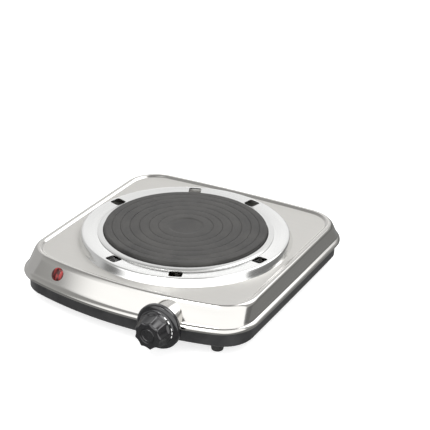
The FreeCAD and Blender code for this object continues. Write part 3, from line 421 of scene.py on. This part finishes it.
def base_paint():
    look = Look("base_paint", (0.022, 0.022, 0.023), roughness=0.34, Specular_IOR_Level=0.5)
    peel = look.noise(1400.0, 2.0)
    dust = look.noise(60.0, 5.0)
    look.shade(dust, (0.018, 0.018, 0.019), (0.030, 0.030, 0.031))
    look.rough(dust, 0.30, 0.42)
    look.bump(peel, 0.02 * MM)
    return look.material


def moulded_black(name, level, roughness, grain_depth):
    look = Look(name, (level, level, level), roughness=roughness)
    grain = look.noise(1600.0, 3.0)
    cloud = look.noise(110.0, 3.0)
    look.shade(cloud, (level * 0.8,) * 3, (level * 1.35,) * 3)
    look.rough(cloud, roughness * 0.9, min(1.0, roughness * 1.15))
    look.bump(grain, grain_depth)
    return look.material


def foot_rubber():
    return moulded_black("foot_rubber", 0.020, 0.62, 0.05 * MM)


def black_plastic():
    return moulded_black("black_plastic", 0.018, 0.48, 0.04 * MM)


def knob_plastic():
    look = Look("knob_plastic", (0.004, 0.004, 0.005), roughness=0.10, Specular_IOR_Level=1.0)
    smear = look.noise(160.0, 4.0, distortion=1.2)
    look.shade(smear, (0.003, 0.003, 0.004), (0.007, 0.007, 0.008))
    look.rough(smear, 0.07, 0.14)
    look.bump(look.noise(520.0, 2.0), 0.006 * MM)
    return look.material


def plated_metal(name, dark, light, roughness, scale):
    """Plated or bare metal hardware with a mottled surface."""
    look = Look(name, light, metallic=1.0, roughness=roughness)
    cells = look.node("TexVoronoi", Scale=scale, Vector=look.place()).outputs["Distance"]
    cloud = look.noise(scale * 0.5, 4.0, distortion=0.5)
    mixed = look.math("ADD", look.math("MULTIPLY", cells, 0.4), look.math("MULTIPLY", cloud, 0.6))
    look.shade(mixed, dark, light, 0.3, 0.6)
    look.rough(cloud, roughness * 0.8, roughness * 1.25)
    look.bump(cloud, 0.02 * MM)
    return look.material


def zinc_steel():
    return plated_metal("zinc_steel", (0.50, 0.51, 0.52), (0.70, 0.70, 0.69), 0.34, 420.0)


def spring_steel():
    return plated_metal("spring_steel", (0.60, 0.60, 0.60), (0.76, 0.76, 0.75), 0.26, 900.0)


def brass():
    return plated_metal("brass", (0.58, 0.42, 0.17), (0.80, 0.62, 0.30), 0.30, 500.0)


def sheath_steel():
    return plated_metal("sheath_steel", (0.16, 0.12, 0.10), (0.34, 0.31, 0.30), 0.46, 240.0)


def shield_aluminium():
    return plated_metal("shield_aluminium", (0.72, 0.72, 0.73), (0.86, 0.86, 0.86), 0.24, 150.0)


def ceramic():
    look = Look("ceramic", (0.86, 0.84, 0.78), roughness=0.82)
    specks = look.noise(1200.0, 4.0)
    look.shade(specks, (0.66, 0.63, 0.56), (0.88, 0.86, 0.80), 0.36, 0.52)
    look.rough(specks, 0.7, 0.95)
    look.bump(specks, 0.12 * MM)
    return look.material


def lens_red():
    look = Look("lens_red", (0.20, 0.012, 0.010), roughness=0.12, IOR=1.49)
    # Painted shade: this noise paints darker and lighter vertical streaks into the red, standing in for light
    # bent through the ribs inside the lens; the same streaks also vary the gloss.
    depth = look.noise(420.0, 2.0, look.place((1.0, 0.4, 0.22)))
    look.shade(depth, (0.035, 0.004, 0.004), (0.27, 0.022, 0.020), 0.40, 0.58)
    look.rough(depth, 0.07, 0.14)
    look.bump(look.noise(700.0, 1.0), 0.01 * MM)
    return look.material


def dial_white():
    look = Look("dial_white", (0.85, 0.85, 0.84), roughness=0.5)
    wear = look.noise(1500.0, 4.0)
    look.shade(wear, (0.62, 0.62, 0.61), (0.88, 0.88, 0.87), 0.3, 0.5)
    look.rough(wear, 0.4, 0.6)
    look.bump(wear, 0.01 * MM)
    return look.material


def lamp_plastic():
    look = Look("lamp_plastic", (0.78, 0.78, 0.74), roughness=0.42)
    cloud = look.noise(240.0, 3.0)
    look.shade(cloud, (0.70, 0.69, 0.64), (0.82, 0.82, 0.79))
    look.rough(cloud, 0.36, 0.5)
    look.bump(cloud, 0.02 * MM)
    return look.material


def bulb_glass():
    look = Look("bulb_glass", (0.95, 0.80, 0.66), roughness=0.05, Transmission_Weight=0.9, IOR=1.47)
    swirl = look.noise(300.0, 2.0)
    look.shade(swirl, (0.92, 0.74, 0.58), (0.98, 0.88, 0.78))
    look.bump(swirl, 0.01 * MM)
    return look.material


def insulation(name, colour):
    look = Look(name, colour, roughness=0.4)
    cloud = look.noise(300.0, 3.0)
    look.shade(cloud, [c * 0.8 for c in colour], [min(1.0, c * 1.15) for c in colour])
    look.rough(cloud, 0.33, 0.5)
    look.bump(look.noise(1500.0, 2.0), 0.02 * MM)
    return look.material


def lead_brown():
    return insulation("lead_brown", (0.20, 0.085, 0.035))


def lead_blue():
    return insulation("lead_blue", (0.035, 0.12, 0.42))


def lead_green():
    return insulation("lead_green", (0.09, 0.36, 0.07))


SLOT_LOOKS = (casing_steel, ring_steel, cast_iron, base_paint, foot_rubber, zinc_steel, sheath_steel, ceramic,
              shield_aluminium, brass, spring_steel, knob_plastic, lens_red, lamp_plastic, bulb_glass,
              black_plastic, lead_brown, lead_blue, lead_green, dial_white)
materials = {}


def dress_cad_nodes():
    """Gives every CAD node the procedural material of its slot."""
    for subpart in frame["record"]["subparts"]:
        node = frame["nodes"][subpart["node"]]
        node.data.materials.clear()
        node.data.materials.append(materials[subpart["material_slot"]])


# ---------------------------------------------------------------- mesh helpers
def rounded(stations, steps=4, share=0.42):
    """Replaces each inner corner of a profile by a short curve. A station is a tuple of any length."""
    points = [Vector(s) for s in stations]
    made = [points[0]]
    for before, corner, after in zip(points, points[1:], points[2:]):
        cut = share * min((before - corner).length, (after - corner).length)
        start = corner + (before - corner).normalized() * cut
        end = corner + (after - corner).normalized() * cut
        for k in range(steps + 1):
            t = k / steps
            made.append(start * (1 - t) ** 2 + corner * (2 * t * (1 - t)) + end * t ** 2)
    made.append(points[-1])
    return made


def object_from(bm, name, material, crease=30.0):
    """Turns a bmesh into an object, smooth except at edges sharper than crease degrees."""
    mesh = bpy.data.meshes.new(name)
    bm.to_mesh(mesh)
    bm.free()
    finish_mesh(mesh, crease)
    mesh.materials.append(materials[material])
    made = bpy.data.objects.new(name, mesh)
    bpy.context.scene.collection.objects.link(made)
    return made


def finish_mesh(mesh, crease):
    """Smooth faces, with hard edges where they meet at more than crease degrees."""
    for face in mesh.polygons:
        face.use_smooth = True
    mesh.set_sharp_from_angle(angle=math.radians(crease))


def apply_modifiers(piece, crease=30.0):
    """Makes the modified mesh the piece's own."""
    mesh = bpy.data.meshes.new_from_object(piece.evaluated_get(bpy.context.evaluated_depsgraph_get()))
    piece.modifiers.clear()
    piece.data = mesh
    finish_mesh(mesh, crease)


def carve(piece, tools, operation="DIFFERENCE"):
    """Cuts the tools out of the piece, or joins them to it, and removes them."""
    for tool in tools:
        modifier = piece.modifiers.new("carve", "BOOLEAN")
        modifier.operation = operation
        modifier.solver = "EXACT"
        modifier.object = tool
    bpy.context.view_layer.update()
    apply_modifiers(piece)
    for tool in tools:
        bpy.data.objects.remove(tool)


def grid_mesh(bm, rows, closed_rows, u_step, v_step):
    """Faces between rows of points, with a map in metres: U along a row and V across the rows."""
    uv = bm.loops.layers.uv.verify()
    verts = [[bm.verts.new(p) for p in row] for row in rows]
    count = len(rows[0])
    spans = count if closed_rows else count - 1
    for j in range(len(rows) - 1):
        for k in range(spans):
            n = (k + 1) % count
            face = bm.faces.new((verts[j][k], verts[j][n], verts[j + 1][n], verts[j + 1][k]))
            places = ((k, j), (k + 1, j), (k + 1, j + 1), (k, j + 1))
            for loop, (a, b) in zip(face.loops, places):
                loop[uv].uv = (a * u_step, b * v_step)
    return verts


def lathe(bm, profile, steps, axis_matrix):
    """Turns (radius, height) points about the matrix's Z axis, from its origin."""
    rows = []
    for radius, height in profile:
        rows.append([axis_matrix @ Vector((radius * math.cos(a), radius * math.sin(a), height))
                     for a in (2 * math.pi * k / steps for k in range(steps))])
    mean_r = sum(p[0] for p in profile) / len(profile)
    return grid_mesh(bm, rows, True, 2 * math.pi * mean_r / steps, 0.4 * MM)


def cap(bm, ring, flip=False):
    """Closes a ring of points with one face."""
    bm.faces.new(ring[::-1] if flip else ring)


def in_metres(profile):
    return [tuple(value * MM for value in point) for point in profile]


def declare(piece, node, body):
    """Hides the CAD node that the piece stands for, and hangs the piece on the body it moves with."""
    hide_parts(node)
    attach(piece, body)


# ---------------------------------------------------------------- casing
def arc(centre, start, end, steps):
    """Points the short way round centre, from start to just before end."""
    first = start - centre
    last = end - centre
    turn = math.atan2(first.x * last.y - first.y * last.x, first.dot(last))
    heading = math.atan2(first.y, first.x)
    angles = [heading + turn * k / steps for k in range(steps)]
    return [centre + first.length * Vector((math.cos(a), math.sin(a))) for a in angles]


def meeting_point(c1, r1, c2, r2, near):
    """The point at r1 from c1 and r2 from c2 that is nearer to near."""
    span = c2 - c1
    along = (span.length_squared + r1 ** 2 - r2 ** 2) / (2 * span.length)
    across = math.sqrt(r1 ** 2 - along ** 2)
    unit = span.normalized()
    side = Vector((-unit.y, unit.x))
    foot = c1 + unit * along
    return min((foot + side * across, foot - side * across), key=lambda p: (p - near).length)


def outline(station):
    """The bowed rounded rectangle of one station, anticlockwise from the left end of the front."""
    height, front, side, back, corner_r = (value * MM for value in station)
    half_w = HALF_W - side
    y_front = CASING_LOW.y + front
    y_back = CASING_HIGH.y - back
    half_d = (y_back - y_front) / 2
    middle_y = (y_front + y_back) / 2
    bow = BOW_FRONT - front * BOW_LOSS
    radii = [(half ** 2 + b ** 2) / (2 * b)
             for half, b in ((half_w, bow), (half_d, BOW_SIDE), (half_w, BOW_BACK), (half_d, BOW_SIDE))]
    centres = [Vector((0, y_front + radii[0])), Vector((half_w - radii[1], middle_y)),
               Vector((0, y_back - radii[2])), Vector((radii[3] - half_w, middle_y))]
    near = [Vector((half_w, y_front)), Vector((half_w, y_back)),
            Vector((-half_w, y_back)), Vector((-half_w, y_front))]
    rounds = []
    for k in range(4):
        n = (k + 1) % 4
        rounds.append(meeting_point(centres[k], radii[k] - corner_r, centres[n], radii[n] - corner_r,
                                    near[k]))
    points = []
    for k in range(4):
        n = (k + 1) % 4
        start = rounds[k - 1] + (rounds[k - 1] - centres[k]).normalized() * corner_r
        end = rounds[k] + (rounds[k] - centres[k]).normalized() * corner_r
        next_start = rounds[k] + (rounds[k] - centres[n]).normalized() * corner_r
        points += arc(centres[k], start, end, SIDE_STEPS)
        points += arc(rounds[k], end, next_start, CORNER_STEPS)
    return [Vector((p.x, p.y, height)) for p in points]


def boss_arch(radius, y):
    """Points of an arch at depth y: a half circle over the spindle and two legs down to the lip."""
    over = [Vector((KNOB_MID.x + radius * math.cos(a), y, KNOB_MID.z + radius * math.sin(a)))
            for a in (math.pi * k / BOSS_ARCH_STEPS for k in range(BOSS_ARCH_STEPS + 1))]
    legs = [Vector((KNOB_MID.x + side * radius, y, CASING_LOW.z)) for side in (-1, 1)]
    return over + legs


def boss_solid(name, radius, face_y, depth_y, edge_r):
    bm = bmesh.new()
    rows = [boss_arch(radius, depth_y)]
    for k in range(5):
        a = math.pi / 2 * k / 4
        rows.append(boss_arch(radius - edge_r * (1 - math.cos(a)), face_y + edge_r * (1 - math.sin(a))))
    verts = grid_mesh(bm, rows, True, 1.0 * MM, 1.0 * MM)
    cap(bm, verts[0])
    cap(bm, verts[-1], True)
    bmesh.ops.recalc_face_normals(bm, faces=bm.faces)
    return object_from(bm, name, "casing_steel")


def rod_object(name, radius, matrix, length, steps=48):
    """A plain rod used only as a cutting tool."""
    bm = bmesh.new()
    verts = lathe(bm, [(radius, 0.0), (radius, length)], steps, matrix)
    cap(bm, verts[0], True)
    cap(bm, verts[-1])
    bmesh.ops.recalc_face_normals(bm, faces=bm.faces)
    return object_from(bm, name, "casing_steel")


def lamp_out():
    """The direction in which the lamp looks out of the skirt."""
    level = math.cos(LAMP_TILT)
    return Vector((-math.sin(LAMP_YAW) * level, -math.cos(LAMP_YAW) * level, math.sin(LAMP_TILT)))


def lamp_matrix(outwards=0.0):
    """A frame on the lamp's axis whose Z points out of the skirt."""
    turn = lamp_out().to_track_quat("Z", "X").to_matrix().to_4x4()
    return Matrix.Translation(LAMP_MID + lamp_out() * outwards) @ turn


def make_casing():
    """The pressed steel top: deck, bead, skirt and rolled lip, with the boss behind the knob."""
    sections = rounded(CASING_STATIONS, 6)
    rows = [outline(s) for s in sections]
    hole_r = (RING_HIGH.x - RING_LOW.x) / 2 - DECK_HOLE_INSET
    first = rows[0]
    hole = []
    for p in first:
        out = Vector((p.x - CENTRE.x, p.y - CENTRE.y)).normalized() * hole_r
        hole.append(Vector((CENTRE.x + out.x, CENTRE.y + out.y, DECK_Z)))
    bm = bmesh.new()
    verts = grid_mesh(bm, rows, True, 3.2 * MM, 0.5 * MM)
    uv = bm.loops.layers.uv.verify()
    inner_verts = [bm.verts.new(p) for p in hole]
    count = len(first)
    for k in range(count):
        n = (k + 1) % count
        bm.faces.new((inner_verts[k], inner_verts[n], verts[0][n], verts[0][k]))
    for face in bm.faces:
        if all(abs(v.co.z - DECK_Z) < 0.01 * MM for v in face.verts):
            for loop in face.loops:
                loop[uv].uv = (loop.vert.co.x, loop.vert.co.y)
    bmesh.ops.recalc_face_normals(bm, faces=bm.faces)
    casing = object_from(bm, "casing_shell", "casing_steel")
    wall = casing.modifiers.new("wall", "SOLIDIFY")
    wall.thickness = SHEET
    wall.offset = -1.0
    bpy.context.view_layer.update()
    apply_modifiers(casing)
    back_y = BOSS_FACE_Y + BOSS_DEPTH
    carve(casing, [boss_solid("boss_tool", BOSS_R, BOSS_FACE_Y, back_y, BOSS_EDGE_R)], "UNION")
    inside = boss_solid("boss_inside", BOSS_R - SHEET, BOSS_FACE_Y + SHEET, back_y + CUT_PAST,
                        BOSS_EDGE_R - SHEET)
    before_boss = Matrix.Translation((KNOB_MID.x, BOSS_FACE_Y - CUT_PAST, KNOB_MID.z))
    shaft = before_boss @ Matrix.Rotation(-math.pi / 2, 4, "X")
    lamp_from, lamp_to = LAMP_HOLE_REACH
    carve(casing, [inside, rod_object("shaft_tool", SHAFT_HOLE_R, shaft, SHAFT_CUT),
                   rod_object("lamp_tool", LAMP_HOLE_R, lamp_matrix(lamp_from), lamp_to - lamp_from)])
    declare(casing, "top_casing", "housing")


# ---------------------------------------------------------------- ring, rim and plate
UP = Matrix.Translation((CENTRE.x, CENTRE.y, 0.0))


def slot_tool(angle):
    """A cutter with rounded corners for one slot of the ring."""
    bm = bmesh.new()
    turn = Matrix.Rotation(math.radians(angle), 4, "Z")
    rows = []
    for height in SLOT_CUT:
        row = []
        for quarter, (sx, sy) in enumerate(((1, 1), (-1, 1), (-1, -1), (1, -1))):
            for k in range(7):
                a = math.pi / 2 * (quarter + k / 6)
                x = sx * (SLOT_WIDTH / 2 - SLOT_CORNER_R) + SLOT_CORNER_R * math.cos(a)
                y = sy * (SLOT_LENGTH / 2 - SLOT_CORNER_R) + SLOT_CORNER_R * math.sin(a)
                row.append(UP @ turn @ Vector((x, y - SLOT_MID_R, height)))
        rows.append(row)
    verts = grid_mesh(bm, rows, True, MM, MM)
    cap(bm, verts[0], True)
    cap(bm, verts[-1])
    bmesh.ops.recalc_face_normals(bm, faces=bm.faces)
    return object_from(bm, "slot_tool", "ring_steel")


def make_ring():
    """The polished ring around the plate: thin sheet with six slots."""
    outside = rounded(in_metres(RING_PROFILE), 6)
    inside = []
    for before, point, after in zip([outside[0]] + outside, outside, outside[1:] + [outside[-1]]):
        along = (after - before).normalized()
        inside.append(point + Vector((-along.y, along.x)) * RING_SHEET)
    loop = outside + inside[::-1]
    bm = bmesh.new()
    lathe(bm, loop + loop[:1], RING_STEPS, UP)
    bmesh.ops.remove_doubles(bm, verts=bm.verts, dist=WELD)
    bmesh.ops.recalc_face_normals(bm, faces=bm.faces)
    ring = object_from(bm, "ring_pressing", "ring_steel", 36.0)
    carve(ring, [slot_tool(angle) for angle in SLOT_ANGLES])
    declare(ring, "burner_ring", "housing")


def make_rim():
    """The thin spill ring between the plate and the ring."""
    loop = rounded(in_metres(RIM_PROFILE), 4, 0.3)
    bm = bmesh.new()
    lathe(bm, loop + loop[:1], RIM_STEPS, UP)
    bmesh.ops.remove_doubles(bm, verts=bm.verts, dist=WELD)
    bmesh.ops.recalc_face_normals(bm, faces=bm.faces)
    rim = object_from(bm, "spill_rim", "ring_steel", 36.0)
    declare(rim, "plate_rim", "housing")


def make_plate():
    """The cast iron plate: a dished middle, turned grooves and rounded edges."""
    profile = [(MIDDLE_R, DISH_TOP), (DISH_R, DISH_TOP), (DISH_EDGE_R, PLATE_TOP)]
    for r in GROOVES:
        profile += [(r - GROOVE_HALF_W, PLATE_TOP), (r - GROOVE_FLOOR_HALF_W, PLATE_TOP - GROOVE_DEPTH),
                    (r + GROOVE_FLOOR_HALF_W, PLATE_TOP - GROOVE_DEPTH), (r + GROOVE_HALF_W, PLATE_TOP)]
    sections = rounded(in_metres(profile + PLATE_PROFILE_END), 4, 0.25)
    bm = bmesh.new()
    verts = lathe(bm, sections, PLATE_STEPS, UP)
    cap(bm, verts[0])
    cap(bm, verts[-1])
    bmesh.ops.recalc_face_normals(bm, faces=bm.faces)
    plate = object_from(bm, "iron_plate", "cast_iron", 40.0)
    declare(plate, "hot_plate", "housing")


# ---------------------------------------------------------------- knob and lens
KNOB_FRAME = Matrix.Translation((KNOB_MID.x, KNOB_BACK_Y, KNOB_MID.z)) @ Matrix.Rotation(math.pi / 2, 4, "X")


def knob_radius(tip, flute, angle):
    """Radius at an angle: ridges with hollow flutes between them."""
    step = 2 * math.pi / RIDGES
    off = abs((angle / step + 0.5) % 1.0 - 0.5) * 2
    blunt = math.sqrt(off ** 2 + RIDGE_SOFT ** 2) - RIDGE_SOFT
    widest = math.sqrt(1 + RIDGE_SOFT ** 2) - RIDGE_SOFT
    return tip - flute * (1 - (1 - min(blunt / widest, 1.0)) ** 2)


def make_knob():
    """The fluted knob with its skirt, from the bore at the back to the button on the nose."""
    steps = RIDGES * STEPS_PER_RIDGE
    stations = rounded([(h * MM, r * MM, d * MM) for h, r, d in KNOB_STATIONS], 3, 0.3)
    rows = []
    for height, tip, flute in stations:
        row = []
        for k in range(steps):
            a = 2 * math.pi * k / steps
            r = knob_radius(tip, flute, a)
            row.append(KNOB_FRAME @ Vector((r * math.cos(a), r * math.sin(a), height)))
        rows.append(row)
    bm = bmesh.new()
    verts = grid_mesh(bm, rows, True, 0.6 * MM, 0.5 * MM)
    cap(bm, verts[0])
    cap(bm, verts[-1])
    bmesh.ops.recalc_face_normals(bm, faces=bm.faces)
    knob = object_from(bm, "knob_grip", "knob_plastic", 38.0)
    declare(knob, "knob", "knob")


def make_dial_marks():
    """White strokes on the smooth collar of the knob."""
    bm = bmesh.new()
    for angle, span, thickness in DIAL_MARKS:
        half = math.radians(span)
        rows = []
        heights = (MARK_LOW, MARK_LOW, MARK_LOW + thickness, MARK_LOW + thickness)
        for height, lift in zip(heights, (-MARK_SUNK, MARK_PROUD, MARK_PROUD, -MARK_SUNK)):
            r = (COLLAR_R - COLLAR_TAPER * (height - COLLAR_LOW) + lift) * MM
            row = []
            for k in range(MARK_STEPS + 1):
                a = math.radians(angle) - half + 2 * half * k / MARK_STEPS
                row.append(KNOB_FRAME @ Vector((r * math.cos(a), r * math.sin(a), height * MM)))
            rows.append(row)
        verts = grid_mesh(bm, rows, False, 0.3 * MM, 0.5 * MM)
        cap(bm, [verts[j][0] for j in range(4)])
        cap(bm, [verts[j][-1] for j in range(4)], True)
        bm.faces.new(verts[0] + verts[3][::-1])
    bmesh.ops.recalc_face_normals(bm, faces=bm.faces)
    marks = object_from(bm, "dial_marks", "dial_white", 30.0)
    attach(marks, "knob")


def make_lens():
    """The red lens: a domed cap with a turned rim and ribs inside its edge."""
    steps = LENS_RIBS * STEPS_PER_RIB
    base = Matrix.Translation(-lamp_out() * LENS_SUNK) @ lamp_matrix()
    rows = []
    for r, height, rib in rounded(LENS_STATIONS, 4, 0.4):
        row = []
        for k in range(steps):
            a = 2 * math.pi * k / steps
            reach = (r - rib * (1 - math.cos(a * LENS_RIBS)) / 2) * MM
            row.append(base @ Vector((reach * math.cos(a), reach * math.sin(a), height * MM)))
        rows.append(row)
    bm = bmesh.new()
    verts = grid_mesh(bm, rows, True, 0.3 * MM, 0.3 * MM)
    cap(bm, verts[0])
    cap(bm, verts[-1])
    bmesh.ops.recalc_face_normals(bm, faces=bm.faces)
    lens = object_from(bm, "lamp_cap", "lens_red", 40.0)
    declare(lens, "lamp_lens", "housing")


# ---------------------------------------------------------------- make everything
make_camera()
for slot_look in SLOT_LOOKS:
    materials[slot_look.__name__] = slot_look()
make_studio()
dress_cad_nodes()
make_casing()
make_ring()
make_rim()
make_plate()
make_knob()
make_dial_marks()
make_lens()
